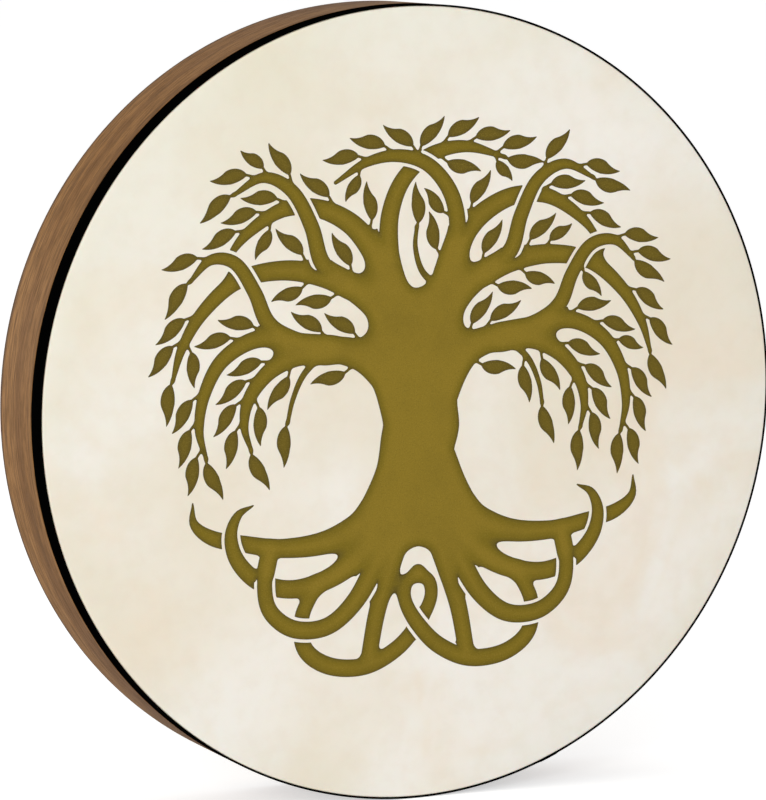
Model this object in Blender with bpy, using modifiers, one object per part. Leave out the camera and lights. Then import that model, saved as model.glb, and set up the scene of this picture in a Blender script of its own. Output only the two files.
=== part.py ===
"""Tunable bodhran: a goatskin frame drum with a bent-ply shell, an inner tuning ring and a crossbar.

The drum stands on its rim. Its axis runs along Y, the skin faces -Y, and the lowest point of the rim
is at the origin's height. Everything is laid out in the drum's own frame, carried by the empty
drum_axis: x to the right, y up and z out of the skin, with the origin at the drum's centre.
"""

import math

import bmesh
import bpy

MM = 0.001

# Driving dimensions
OUTER_RADIUS = 228.6 * MM  # an 18 inch drum
DEPTH = 68.0 * MM
WALL = 9.0 * MM
BAND_WIDTH = 15.1 * MM
BAND_THICKNESS = 0.8 * MM
SKIN_THICKNESS = 0.9 * MM
SKIRT_LENGTH = 14.0 * MM
GAP = 0.3 * MM  # left between pieces that touch
TUNING_POINTS = 8
RING_THICKNESS = 8.0 * MM
RING_HEIGHT = 22.8 * MM
RING_CLEARANCE = 2.6 * MM
SCREW_RADIUS = 3.0 * MM  # M6
SCREW_LENGTH = 30.0 * MM
BAR_WIDTH = 26.0 * MM
BAR_THICKNESS = 11.0 * MM
BAR_INSET = 3.0 * MM  # from the back of the shell
MORTISE_DEPTH = 3.0 * MM
TENON_WIDTH = 18.0 * MM
TENON_THICKNESS = 7.0 * MM

# Rounding of the bent hoops
RIM_ROUND = 1.5 * MM
BEARING_FALL = 5.0 * MM  # how far the shell's front edge eases down to the wall inside
BEARING_RUN = 4.4 * MM
CREST_OUTER = 2.5 * MM  # easing of the tuning ring's front edge, outside and inside
CREST_INNER = 4.0 * MM
RING_ROUND = 0.8 * MM
SKIN_TURN = 0.6 * MM
BAND_LIP = 0.4 * MM
BAND_SETBACK = 0.1 * MM  # of the band's front edge behind the skin's face

# Levels along z, and radii, that several pieces share
FRONT = DEPTH / 2
BACK = -DEPTH / 2
INNER_RADIUS = OUTER_RADIUS - WALL
BEARING_TOP = FRONT - SKIN_THICKNESS - GAP
BAND_BOTTOM = FRONT - BAND_WIDTH
BAND_INNER = OUTER_RADIUS - BAND_THICKNESS
SKIRT_OUTER = BAND_INNER - GAP
SKIRT_INNER = SKIRT_OUTER - SKIN_THICKNESS
REBATE_RADIUS = SKIRT_INNER - GAP
RING_OUTER = INNER_RADIUS - RING_CLEARANCE
RING_INNER = RING_OUTER - RING_THICKNESS
RING_BOTTOM = BEARING_TOP - RING_HEIGHT
SCREW_CIRCLE = (RING_OUTER + RING_INNER) / 2
BAR_BACK = BACK + BAR_INSET
BAR_FRONT = BAR_BACK + BAR_THICKNESS
BAR_MIDDLE = (BAR_BACK + BAR_FRONT) / 2
SHOULDER_GAP = 1.2 * MM  # clears the curved wall at the corners of a bar
BAR_HALF = INNER_RADIUS - SHOULDER_GAP
TENON_HALF = INNER_RADIUS + MORTISE_DEPTH - GAP

# Saddle that spreads a tuning screw's push over the ring's back edge
SADDLE_PLATE = 1.2 * MM
SADDLE_WEB = 2.0 * MM
SADDLE_WIDTH = 14.0 * MM
SADDLE_LEG = 7.0 * MM
SADDLE_OUTER_GAP = 0.4 * MM
SADDLE_INNER_GAP = 0.6 * MM
SADDLE_TOP = RING_BOTTOM - GAP
SADDLE_BOTTOM = SADDLE_TOP - SADDLE_WEB

# Tuning screw
TIP = SADDLE_BOTTOM - GAP
TIP_CHAMFER = 0.8 * MM
HEAD_RADIUS = 5.0 * MM
HEAD_HEIGHT = 6.0 * MM
HEAD_CHAMFER = 0.5 * MM
SOCKET_FLATS = 5.0 * MM
SOCKET_DEPTH = 3.0 * MM

# Bracket: a cut length of extrusion with a threaded boss and two ears on the wall
BRACKET_TOP = 0.0
BRACKET_HEIGHT = 11.0 * MM
BRACKET_SPAN = 44.0 * MM
EAR_OUTER = INNER_RADIUS - 0.5 * MM
EAR_THICKNESS = 2.3 * MM
EAR_INNER = EAR_OUTER - EAR_THICKNESS
EAR_SCREW_OFFSET = 15.5 * MM
BOSS_RADIUS = 6.5 * MM
BOSS_HOLE = SCREW_RADIUS + GAP
BRACKET_BEVEL = 0.5 * MM

# Wood screws that hold the brackets
PAN_RADIUS = 3.5 * MM
PAN_HEIGHT = 2.3 * MM
WOOD_SCREW_RADIUS = 1.75 * MM
WOOD_SCREW_LENGTH = 9.0 * MM
PILOT_RADIUS = WOOD_SCREW_RADIUS + 0.35 * MM
PILOT_BOTTOM = EAR_INNER + WOOD_SCREW_LENGTH + GAP

# Countersunk screw through the middle of the cross
CROSS_HEAD_RADIUS = 4.2 * MM
CROSS_HEAD_HEIGHT = 2.4 * MM
CROSS_SCREW_LENGTH = 9.0 * MM
BAR_BEVEL = 2.5 * MM

WELD = 0.001 * MM
OVERSHOOT = 5.0 * MM  # how far a cutter runs past what it cuts
HOOP_STEPS = 96
RING_STEPS = 72
SCREW_STEPS = 16
WOOD_SCREW_STEPS = 10


def clear_scene():
    for old in list(bpy.data.objects):
        bpy.data.objects.remove(old, do_unlink=True)


def new_collection(name):
    made = bpy.data.collections.new(name)
    bpy.context.scene.collection.children.link(made)
    return made


def material(name, colour, roughness, metallic=0.0):
    made = bpy.data.materials.new(name)
    made.use_nodes = True
    shader = made.node_tree.nodes["Principled BSDF"]
    shader.inputs["Base Color"].default_value = (*colour, 1.0)
    shader.inputs["Roughness"].default_value = roughness
    shader.inputs["Metallic"].default_value = metallic
    return made


clear_scene()
parts = new_collection("bodhran")
cutters = new_collection("cutters")
cutters.hide_render = True

stained_wood = material("stained_wood", (0.27, 0.14, 0.06), 0.45)
goatskin = material("goatskin", (0.84, 0.76, 0.65), 0.5)
black_tape = material("black_tape", (0.008, 0.008, 0.009), 0.4)
ring_wood = material("ring_wood", (0.55, 0.36, 0.19), 0.5)
cast_metal = material("cast_metal", (0.62, 0.62, 0.6), 0.35, 1.0)
bright_steel = material("bright_steel", (0.7, 0.7, 0.72), 0.22, 1.0)

drum_axis = bpy.data.objects.new("drum_axis", None)
drum_axis.location = (0, 0, OUTER_RADIUS)
drum_axis.rotation_euler = (math.pi / 2, 0, 0)
parts.objects.link(drum_axis)


def add(name, data, finish, collection=parts):
    """A new object on the drum's axis. Several objects may share one mesh."""
    piece = bpy.data.objects.new(name, data)
    piece.parent = drum_axis
    collection.objects.link(piece)
    if finish is not None and not data.materials:
        data.materials.append(finish)
    return piece


def cutter(name, data):
    piece = add(name, data, None, cutters)
    piece.hide_render = True
    piece.display_type = "WIRE"
    return piece


def combine(piece, tool, operation):
    boolean = piece.modifiers.new(tool.name, "BOOLEAN")
    boolean.operation = operation
    boolean.solver = "EXACT"
    boolean.object = tool


def cut(piece, tool):
    combine(piece, tool, "DIFFERENCE")


def wire_mesh(name, points, closed):
    """The profile of a turned piece: (radius, z) points joined by edges, in the plane y = 0."""
    mesh = bpy.data.meshes.new(name)
    count = len(points)
    edges = [(i, i + 1) for i in range(count - 1)]
    if closed:
        edges.append((count - 1, 0))
    mesh.from_pydata([(r, 0, z) for r, z in points], edges, [])
    return mesh


def turned(name, points, steps, finish, closed=True, collection=parts):
    """A piece turned round z. The profile runs down its outer side, top to bottom."""
    piece = add(name, wire_mesh(name, points, closed), finish, collection)
    screw = piece.modifiers.new("turn", "SCREW")
    screw.steps = steps
    screw.render_steps = steps
    screw.use_merge_vertices = True
    screw.merge_threshold = WELD
    screw.use_smooth_shade = False
    return piece


def block_mesh(name, low, high):
    """A box between two corners."""
    mesh = bpy.data.meshes.new(name)
    shape = bmesh.new()
    bmesh.ops.create_cube(shape, size=1.0)
    for corner in shape.verts:
        for k in range(3):
            corner.co[k] = low[k] + (corner.co[k] + 0.5) * (high[k] - low[k])
    shape.to_mesh(mesh)
    shape.free()
    return mesh


def rod_mesh(name, sides, radius, top, bottom):
    """A round or many-sided bar along z."""
    mesh = bpy.data.meshes.new(name)
    shape = bmesh.new()
    bmesh.ops.create_cone(
        shape, cap_ends=True, segments=sides, radius1=radius, radius2=radius, depth=top - bottom
    )
    bmesh.ops.translate(shape, verts=shape.verts, vec=(0, 0, (top + bottom) / 2))
    shape.to_mesh(mesh)
    shape.free()
    return mesh


def flat_outline(name, points, thickness, finish):
    """A flat outline in the plane of x and y, thickened half to each side of z = 0."""
    curve = bpy.data.curves.new(name, "CURVE")
    curve.dimensions = "2D"
    curve.fill_mode = "BOTH"
    curve.extrude = thickness / 2
    line = curve.splines.new("POLY")
    line.points.add(len(points) - 1)
    for point, (x, y) in zip(line.points, points):
        point.co = (x, y, 0, 1)
    line.use_cyclic_u = True
    return add(name, curve, finish)


def evaluated_mesh(piece, name, finish):
    """The piece's mesh with its modifiers or its curve's thickness worked in. The piece is removed."""
    bpy.context.view_layer.update()
    graph = bpy.context.evaluated_depsgraph_get()
    mesh = bpy.data.meshes.new_from_object(piece.evaluated_get(graph), depsgraph=graph)
    mesh.name = name
    bpy.data.objects.remove(piece, do_unlink=True)
    shape = bmesh.new()
    shape.from_mesh(mesh)
    bmesh.ops.remove_doubles(shape, verts=shape.verts, dist=WELD)
    shape.to_mesh(mesh)
    shape.free()
    mesh.materials.clear()
    mesh.materials.append(finish)
    return mesh


def soften(mesh, angle=0.6):
    mesh.shade_smooth()
    mesh.set_sharp_from_angle(angle=angle)


def arc(radius, start, end, count, centre=(0.0, 0.0)):
    """Points along an arc, both ends included, with angles in radians."""
    turn = (end - start) / (count - 1)
    return [
        (
            centre[0] + radius * math.cos(start + i * turn),
            centre[1] + radius * math.sin(start + i * turn),
        )
        for i in range(count)
    ]


def eased(start, corner, end, steps):
    """Points of a curve from start to end that rounds off the corner between them."""
    points = []
    for k in range(steps + 1):
        t = k / steps
        near, mid, far = (1 - t) ** 2, 2 * t * (1 - t), t * t
        points.append(tuple(near * a + mid * b + far * c for a, b, c in zip(start, corner, end)))
    return points


def on_circle(piece, radius, angle, z=0.0):
    """Places a piece on the circle of that radius, with its x pointing away from the drum's axis."""
    piece.location = (radius * math.cos(angle), radius * math.sin(angle), z)
    piece.rotation_euler = (0, 0, angle)


def tuning_angles():
    """The tuning points sit midway between the arms of the cross."""
    step = 2 * math.pi / TUNING_POINTS
    return [step * (k + 0.5) for k in range(TUNING_POINTS)]


def make_shell():
    """Bent-ply hoop, rebated at the front so that the skirt and the band lie flush with it."""
    ledge = BAND_BOTTOM - GAP
    crest = INNER_RADIUS + BEARING_RUN
    profile = eased(
        (crest, BEARING_TOP), (REBATE_RADIUS, BEARING_TOP), (REBATE_RADIUS, BEARING_TOP - RIM_ROUND), 2
    )
    profile += [(REBATE_RADIUS, ledge), (OUTER_RADIUS, ledge)]
    side, back = OUTER_RADIUS, BACK
    profile += eased((side, back + RIM_ROUND), (side, back), (side - RIM_ROUND, back), 2)
    side = INNER_RADIUS
    profile += eased((side + RIM_ROUND, back), (side, back), (side, back + RIM_ROUND), 2)
    profile += eased(
        (INNER_RADIUS, BEARING_TOP - BEARING_FALL), (INNER_RADIUS, BEARING_TOP), (crest, BEARING_TOP), 3
    )[:-1]
    shell = turned("shell", profile, HOOP_STEPS, stained_wood)
    for name, turn in (("mortises_upright", 0.0), ("mortises_across", math.pi / 2)):
        tool = cutter(name, tenon_mesh(name, GAP))
        tool.rotation_euler = (0, 0, turn)
        cut(shell, tool)
    cut(shell, pilot_holes())
    return shell


def ear_screw_angle():
    """Angle from a bracket's middle to either of its wood screws."""
    return math.asin(EAR_SCREW_OFFSET / EAR_INNER)


def pilot_holes():
    """One cutter for all the wood screws' blind holes in the wall."""
    mesh = bpy.data.meshes.new("pilot_holes")
    shape = bmesh.new()
    mouth = INNER_RADIUS - PILOT_RADIUS
    one = rod_mesh("pilot_hole", WOOD_SCREW_STEPS, PILOT_RADIUS, PILOT_BOTTOM, mouth)
    height = BRACKET_TOP - BRACKET_HEIGHT / 2
    for angle in tuning_angles():
        for side in (-1, 1):
            start = len(shape.verts)
            shape.from_mesh(one)
            shape.verts.ensure_lookup_table()
            turn = angle + side * ear_screw_angle()
            for corner in shape.verts[start:]:
                along, across, up = corner.co.z, corner.co.y, corner.co.x
                corner.co = (
                    along * math.cos(turn) - across * math.sin(turn),
                    along * math.sin(turn) + across * math.cos(turn),
                    height - up,
                )
    shape.to_mesh(mesh)
    shape.free()
    return cutter("pilot_holes", mesh)


def make_skin():
    """The head: a flat disc turned down over the rim into a short skirt."""
    profile = [
        (0, FRONT),
        (SKIRT_OUTER - SKIN_TURN, FRONT),
        (SKIRT_OUTER, FRONT - SKIN_TURN),
        (SKIRT_OUTER, FRONT - SKIRT_LENGTH),
        (SKIRT_INNER, FRONT - SKIRT_LENGTH),
        (SKIRT_INNER, FRONT - SKIN_THICKNESS),
        (0, FRONT - SKIN_THICKNESS),
    ]
    return turned("drum_skin", profile, HOOP_STEPS, goatskin, closed=False)


def make_band():
    """Black binding band glued round the skirt, its front edge level with the skin."""
    front = FRONT - BAND_SETBACK
    profile = [
        (OUTER_RADIUS - BAND_LIP, front),
        (OUTER_RADIUS, front - BAND_LIP),
        (OUTER_RADIUS, BAND_BOTTOM),
        (BAND_INNER, BAND_BOTTOM),
        (BAND_INNER, front),
    ]
    return turned("edge_band", profile, HOOP_STEPS, black_tape)


def make_tuning_ring():
    """Inner hoop whose rounded front edge presses on the back of the skin."""
    crest = RING_OUTER - CREST_OUTER
    corner = (RING_OUTER, BEARING_TOP)
    profile = eased((crest, BEARING_TOP), corner, (RING_OUTER, BEARING_TOP - CREST_OUTER), 2)
    profile += [
        (RING_OUTER, RING_BOTTOM + RING_ROUND),
        (RING_OUTER - RING_ROUND, RING_BOTTOM),
        (RING_INNER + RING_ROUND, RING_BOTTOM),
        (RING_INNER, RING_BOTTOM + RING_ROUND),
    ]
    profile += eased(
        (RING_INNER, BEARING_TOP - CREST_INNER),
        (RING_INNER, BEARING_TOP),
        (RING_INNER + CREST_INNER, BEARING_TOP),
        2,
    )
    return turned("tuning_ring", profile, RING_STEPS, ring_wood)


def tenon_mesh(name, clearance=0.0):
    """A bar that ends in both tenons; clearance widens it into the mortises."""
    half = (TENON_WIDTH / 2 + clearance, TENON_HALF + clearance, TENON_THICKNESS / 2 + clearance)
    low = (-half[0], -half[1], BAR_MIDDLE - half[2])
    return block_mesh(name, low, (half[0], half[1], BAR_MIDDLE + half[2]))


def make_crossbars():
    """Two slats halved into each other, their ends tenoned into the shell."""
    bars = []
    for name, turn in (("crossbar_upright", 0.0), ("crossbar_across", math.pi / 2)):
        low = (-BAR_WIDTH / 2, -BAR_HALF, BAR_BACK)
        high = (BAR_WIDTH / 2, BAR_HALF, BAR_FRONT)
        bar = add(name, block_mesh(name, low, high), stained_wood)
        bar.rotation_euler = (0, 0, turn)
        bevel = bar.modifiers.new("round_edges", "BEVEL")
        bevel.width = BAR_BEVEL
        bevel.segments = 3
        bevel.limit_method = "ANGLE"
        tenons = cutter("tenons_" + name, tenon_mesh("tenons_" + name))
        tenons.rotation_euler = (0, 0, turn)
        combine(bar, tenons, "UNION")
        bars.append(bar)
    reach = BAR_WIDTH / 2 + GAP
    laps = (
        ("lap_front", BAR_MIDDLE - GAP / 2, BAR_FRONT + OVERSHOOT),
        ("lap_back", BAR_BACK - OVERSHOOT, BAR_MIDDLE + GAP / 2),
    )
    for bar, (name, bottom, top) in zip(bars, laps):
        low = (-BAR_WIDTH, -reach, bottom)
        high = (BAR_WIDTH, reach, top)
        tool = cutter(name, block_mesh(name, low, high))
        tool.rotation_euler = bar.rotation_euler
        cut(bar, tool)
    hole = countersink_cutter()
    for bar in bars:
        cut(bar, hole)
    return bars


def countersunk_profile(clearance):
    """Countersunk screw, head downwards at the back of the bars; clearance widens it into its hole."""
    seat = BAR_BACK + GAP
    shank = WOOD_SCREW_RADIUS + clearance
    head = CROSS_HEAD_RADIUS + clearance
    tip = seat + CROSS_SCREW_LENGTH + clearance
    return [
        (0, tip),
        (shank / 3, tip),
        (shank, tip - shank),
        (shank, seat + CROSS_HEAD_HEIGHT),
        (head, seat),
    ]


def countersink_cutter():
    """The screw's hole and countersink, running out past the back face."""
    past = BAR_BACK - OVERSHOOT
    points = countersunk_profile(GAP)
    points += [(CROSS_HEAD_RADIUS + GAP, past), (0, past)]
    tool = turned("countersink", points, SCREW_STEPS, None, closed=False, collection=cutters)
    tool.hide_render = True
    tool.display_type = "WIRE"
    return tool


def make_cross_screw():
    """Holds the half-lap together from the back."""
    points = countersunk_profile(0.0)
    points.append((0, BAR_BACK + GAP))
    return turned("crossbar_screw", points, SCREW_STEPS, bright_steel, closed=False)


def bracket_outline():
    """Plan of the extrusion: two curved ears on the wall and a round-nosed boss on the screw's axis."""
    ear = math.asin(BRACKET_SPAN / 2 / EAR_OUTER)
    root = math.asin(BOSS_RADIUS / EAR_INNER)
    points = arc(EAR_OUTER, -ear, ear, 7)
    points += arc(EAR_INNER, ear, root, 4)
    points += arc(BOSS_RADIUS, math.pi / 2, 3 * math.pi / 2, 9, (SCREW_CIRCLE, 0.0))
    points += arc(EAR_INNER, -root, -ear, 4)
    return [(x - SCREW_CIRCLE, y) for x, y in points]


def bracket_mesh():
    """One bracket, its threaded hole on the z axis and its middle at z = 0."""
    solid = flat_outline("bracket_solid", bracket_outline(), BRACKET_HEIGHT, cast_metal)
    mesh = evaluated_mesh(solid, "bracket_blank", cast_metal)
    blank = add("bracket_blank", mesh, cast_metal)
    bevel = blank.modifiers.new("break_edges", "BEVEL")
    bevel.width = BRACKET_BEVEL
    bevel.segments = 1
    bevel.limit_method = "ANGLE"
    bevel.angle_limit = math.radians(60)
    reach = BRACKET_HEIGHT
    cut(blank, cutter("screw_hole", rod_mesh("screw_hole", SCREW_STEPS, BOSS_HOLE, reach, -reach)))
    for side in (-1, 1):
        name = "ear_hole_" + ("left" if side < 0 else "right")
        turn = side * ear_screw_angle()
        tool = cutter(name, rod_mesh(name, WOOD_SCREW_STEPS, PILOT_RADIUS, OVERSHOOT, -OVERSHOOT))
        tool.location = (
            EAR_INNER * math.cos(turn) - SCREW_CIRCLE,
            EAR_INNER * math.sin(turn),
            0,
        )
        tool.rotation_euler = (0, math.pi / 2, turn)
        cut(blank, tool)
    made = evaluated_mesh(blank, "bracket", cast_metal)
    soften(made)
    return made


def tuning_screw_mesh():
    """M6 socket-head screw along z, its tip at z = 0 and its head at the bottom."""
    under_head = -SCREW_LENGTH
    end = under_head - HEAD_HEIGHT
    profile = [
        (0, 0),
        (SCREW_RADIUS - TIP_CHAMFER, 0),
        (SCREW_RADIUS, -TIP_CHAMFER),
        (SCREW_RADIUS, under_head),
        (HEAD_RADIUS, under_head),
        (HEAD_RADIUS, end + HEAD_CHAMFER),
        (HEAD_RADIUS - HEAD_CHAMFER, end),
        (0, end),
    ]
    blank = turned("screw_blank", profile, SCREW_STEPS, bright_steel, closed=False)
    corner = SOCKET_FLATS / 2 / math.cos(math.pi / 6)
    top = end + SOCKET_DEPTH
    cut(blank, cutter("hex_socket", rod_mesh("hex_socket", 6, corner, top, end - OVERSHOOT)))
    made = evaluated_mesh(blank, "tuning_screw", bright_steel)
    soften(made)
    return made


def wood_screw_mesh():
    """Pan-head wood screw along z, the underside of its head at z = 0 and its point at the top."""
    rim = PAN_HEIGHT / 3
    profile = [
        (0, WOOD_SCREW_LENGTH),
        (WOOD_SCREW_RADIUS, WOOD_SCREW_LENGTH - WOOD_SCREW_RADIUS),
        (WOOD_SCREW_RADIUS, 0),
        (PAN_RADIUS, 0),
        (PAN_RADIUS, -rim),
        (PAN_RADIUS - rim, -PAN_HEIGHT),
        (0, -PAN_HEIGHT),
    ]
    blank = turned("wood_screw_blank", profile, WOOD_SCREW_STEPS, bright_steel, closed=False)
    made = evaluated_mesh(blank, "wood_screw", bright_steel)
    soften(made)
    return made


def saddle_outline():
    """The saddle's channel section: x away from the drum's axis, y towards the skin."""
    outer = RING_OUTER + SADDLE_OUTER_GAP - SCREW_CIRCLE
    inner = RING_INNER - SADDLE_INNER_GAP - SCREW_CIRCLE
    leg_top = SADDLE_TOP + SADDLE_LEG
    return [
        (inner - SADDLE_PLATE, SADDLE_BOTTOM),
        (outer + SADDLE_PLATE, SADDLE_BOTTOM),
        (outer + SADDLE_PLATE, leg_top),
        (outer, leg_top),
        (outer, SADDLE_TOP),
        (inner, SADDLE_TOP),
        (inner, leg_top),
        (inner - SADDLE_PLATE, leg_top),
    ]


def saddle_mesh():
    """The channel stood up, so that its web lies across the ring's back edge."""
    solid = flat_outline("saddle_solid", saddle_outline(), SADDLE_WIDTH, bright_steel)
    solid.rotation_euler = (math.pi / 2, 0, 0)
    turn = solid.rotation_euler.to_matrix().to_4x4()
    mesh = evaluated_mesh(solid, "ring_saddle", bright_steel)
    mesh.transform(turn)
    return mesh


def make_tuning_points():
    """At each point: a bracket on the wall with two wood screws, a tuning screw, and a saddle."""
    bracket = bracket_mesh()
    screw = tuning_screw_mesh()
    wood_screw = wood_screw_mesh()
    saddle = saddle_mesh()
    level = BRACKET_TOP - BRACKET_HEIGHT / 2
    for number, angle in enumerate(tuning_angles(), start=1):
        on_circle(add(f"bracket_{number}", bracket, cast_metal), SCREW_CIRCLE, angle, level)
        on_circle(add(f"tuning_screw_{number}", screw, bright_steel), SCREW_CIRCLE, angle, TIP)
        on_circle(add(f"ring_saddle_{number}", saddle, bright_steel), SCREW_CIRCLE, angle)
        for side, letter in ((-1, "a"), (1, "b")):
            fixing = add(f"bracket_screw_{number}{letter}", wood_screw, bright_steel)
            turn = angle + side * ear_screw_angle()
            seat = EAR_INNER - GAP
            fixing.location = (seat * math.cos(turn), seat * math.sin(turn), level)
            fixing.rotation_euler = (0, math.pi / 2, turn)


make_shell()
make_skin()
make_band()
make_tuning_ring()
make_crossbars()
make_cross_screw()
make_tuning_points()
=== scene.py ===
"""Looks of a tunable bodhran, an Irish frame drum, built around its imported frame.

Every piece is laid out in the drum's own frame: x to the right, y up and z out of the skin, with the origin
at the drum's centre. DRUM takes it to the row frame, where the drum stands on its rim and faces -Y.
"""

import math

import bmesh
import bpy
import numpy as np
from mathutils import Matrix, Vector
from mathutils.geometry import delaunay_2d_cdt


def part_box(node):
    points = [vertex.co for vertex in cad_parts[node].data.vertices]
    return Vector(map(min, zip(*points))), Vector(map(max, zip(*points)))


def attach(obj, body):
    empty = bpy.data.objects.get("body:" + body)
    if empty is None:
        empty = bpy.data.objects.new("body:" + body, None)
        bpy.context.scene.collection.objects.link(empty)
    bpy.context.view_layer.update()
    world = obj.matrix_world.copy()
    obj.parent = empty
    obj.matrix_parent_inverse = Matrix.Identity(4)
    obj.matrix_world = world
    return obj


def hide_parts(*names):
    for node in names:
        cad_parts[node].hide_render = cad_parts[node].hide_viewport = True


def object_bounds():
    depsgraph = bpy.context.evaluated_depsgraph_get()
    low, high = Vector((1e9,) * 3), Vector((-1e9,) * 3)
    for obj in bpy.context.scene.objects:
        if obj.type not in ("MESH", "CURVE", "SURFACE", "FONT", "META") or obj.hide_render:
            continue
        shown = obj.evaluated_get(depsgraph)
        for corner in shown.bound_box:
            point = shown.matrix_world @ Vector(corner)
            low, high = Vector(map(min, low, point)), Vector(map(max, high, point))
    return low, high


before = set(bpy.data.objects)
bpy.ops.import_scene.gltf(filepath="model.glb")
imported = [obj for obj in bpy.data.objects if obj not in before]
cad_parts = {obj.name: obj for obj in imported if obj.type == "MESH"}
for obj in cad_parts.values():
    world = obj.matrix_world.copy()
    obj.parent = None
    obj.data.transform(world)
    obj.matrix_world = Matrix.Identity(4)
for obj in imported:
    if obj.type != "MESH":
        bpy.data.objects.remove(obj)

MM = 0.001
CAD_LOW, CAD_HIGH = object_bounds()
CENTRE = (CAD_LOW + CAD_HIGH) / 2


def quarter(axis):
    """A quarter turn about an axis."""
    return Matrix.Rotation(math.pi / 2, 4, axis)


DRUM = Matrix.Translation(CENTRE) @ quarter("X")


def drum_box(node):
    """Lowest and highest corner of a CAD node in the drum's frame."""
    a, b = (DRUM.inverted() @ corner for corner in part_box(node))
    return Vector(map(min, a, b)), Vector(map(max, a, b))


SKIN_LOW, SKIN_HIGH = drum_box("drum_skin")
BAND_LOW, BAND_HIGH = drum_box("edge_band")
SHELL_LOW, SHELL_HIGH = drum_box("shell")
RING_LOW, RING_HIGH = drum_box("tuning_ring")
BAR_LOW, BAR_HIGH = drum_box("crossbar_upright")

FRONT = SKIN_HIGH.z
BACK = SHELL_LOW.z
OUTER_RADIUS = SHELL_HIGH.x
WALL = 9.0 * MM
INNER_RADIUS = OUTER_RADIUS - WALL
GAP = 0.3 * MM  # between touching pieces
WELD = 0.002 * MM  # points closer than this are one point after a cut
OVERSHOOT = 5.0 * MM  # of a cutter past the surface that it cuts
SKIN_THICKNESS = 0.9 * MM
TUNING_POINTS = 8
RING_THICKNESS = 8.0 * MM
TENON_WIDTH = 18.0 * MM
TENON_DEPTH = 7.0 * MM
SCREW_RADIUS = 3.0 * MM
SCREW_PITCH = 1.0 * MM

HOOP_STEPS = 288
BINDING_STEPS = 720
SKIN_RINGS = 24
SCREW_STEPS = 24
SMALL_STEPS = 32
ROWS_IN_A_PITCH = 6

# The photograph's view: from the left and a little above
VIEW_AZIMUTH = math.radians(-24.3)
VIEW_ELEVATION = math.radians(7.1)
CAMERA_DISTANCE = 2.4346
CAMERA_RIGHT = -0.0200
CAMERA_UP = 0.0031
FOCAL_LENGTH = 191.7


# ---- materials ----


def linear(*levels):
    """A colour given by its 0 to 255 levels on a screen."""
    parts = [c / 255 for c in levels]
    return [c / 12.92 if c <= 0.04045 else ((c + 0.055) / 1.055) ** 2.4 for c in parts]


class Paint:
    """A material's nodes, each added by a short call that returns its output."""

    def __init__(self, name, metallic=0.0):
        self.material = bpy.data.materials.new(name)
        self.material.use_nodes = True
        self.tree = self.material.node_tree
        self.shader = self.tree.nodes["Principled BSDF"]
        self.shader.inputs["Metallic"].default_value = metallic

    def node(self, kind, inputs, output=0, **settings):
        """A node's output. Its inputs are linked to other outputs or set."""
        made = self.tree.nodes.new(kind)
        for key, value in settings.items():
            setattr(made, key, value)
        for key, value in inputs.items():
            if isinstance(value, bpy.types.NodeSocket):
                self.tree.links.new(value, made.inputs[key])
            else:
                made.inputs[key].default_value = value
        return made.outputs[output]

    def place(self):
        """The point's own coordinates in the drum's frame."""
        parts = self.tree.nodes.new("ShaderNodeSeparateXYZ")
        self.tree.links.new(self.node("ShaderNodeTexCoord", {}, "Object"), parts.inputs[0])
        x, y, z = parts.outputs
        return x, self.maths("SUBTRACT", z, CENTRE.z), self.times(y, -1.0)

    def maths(self, operation, *values):
        return self.node("ShaderNodeMath", dict(enumerate(values)), operation=operation)

    def times(self, value, factor):
        return self.maths("MULTIPLY", value, factor)

    def ripple(self, value, length):
        """A sine wave along a value in metres."""
        return self.maths("SINE", self.times(value, math.tau / length))

    def noise(self, where, repeats, detail=3.0, rough=0.5, twist=0.0):
        """Noise with its repeats per metre, the same along all three coordinates or one for each."""
        repeats = repeats if isinstance(repeats, tuple) else (repeats,) * 3
        parts = {k: self.times(where[k], repeats[k]) for k in range(3)}
        vector = self.node("ShaderNodeCombineXYZ", parts)
        inputs = {"Vector": vector, "Scale": 1.0, "Detail": detail, "Roughness": rough, "Distortion": twist}
        return self.node("ShaderNodeTexNoise", inputs)

    def span(self, value, low, high, start=0.0, end=1.0):
        """A value moved from the range low to high to the range start to end, and kept in it."""
        inputs = {0: value, 1: low, 2: high, 3: start, 4: end}
        return self.node("ShaderNodeMapRange", inputs, interpolation_type="SMOOTHSTEP")

    def mix(self, share, first, second):
        """A share from 0 to 1 of the second colour over the first. A fixed colour is given by its levels."""
        made = self.tree.nodes.new("ShaderNodeMix")
        made.data_type = "RGBA"
        for index, value in ((0, share), (6, first), (7, second)):
            if isinstance(value, bpy.types.NodeSocket):
                self.tree.links.new(value, made.inputs[index])
            else:
                made.inputs[index].default_value = (*linear(*value), 1.0) if index else value
        return made.outputs[2]

    def tint(self, colour, other, value, low, high, share=1.0):
        """The colour, with up to that share of another where the value goes from low to high."""
        return self.mix(self.span(value, low, high, 0.0, share), colour, other)

    def bump(self, height, depth, strength, onto=None):
        """The normal over a relief of some depth in metres, on top of an earlier one."""
        inputs = {"Height": height, "Distance": depth, "Strength": strength}
        if onto is not None:
            inputs["Normal"] = onto
        return self.node("ShaderNodeBump", inputs)

    def finish(self, colour=None, roughness=None, normal=None, **fixed):
        """Links what varies to the shader, and sets what doesn't on its own sockets."""
        for key, value in (("Base Color", colour), ("Roughness", roughness), ("Normal", normal)):
            if value is not None:
                self.tree.links.new(value, self.shader.inputs[key])
        for key, value in fixed.items():
            self.shader.inputs[key.replace("_", " ")].default_value = value
        return self.material


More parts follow.
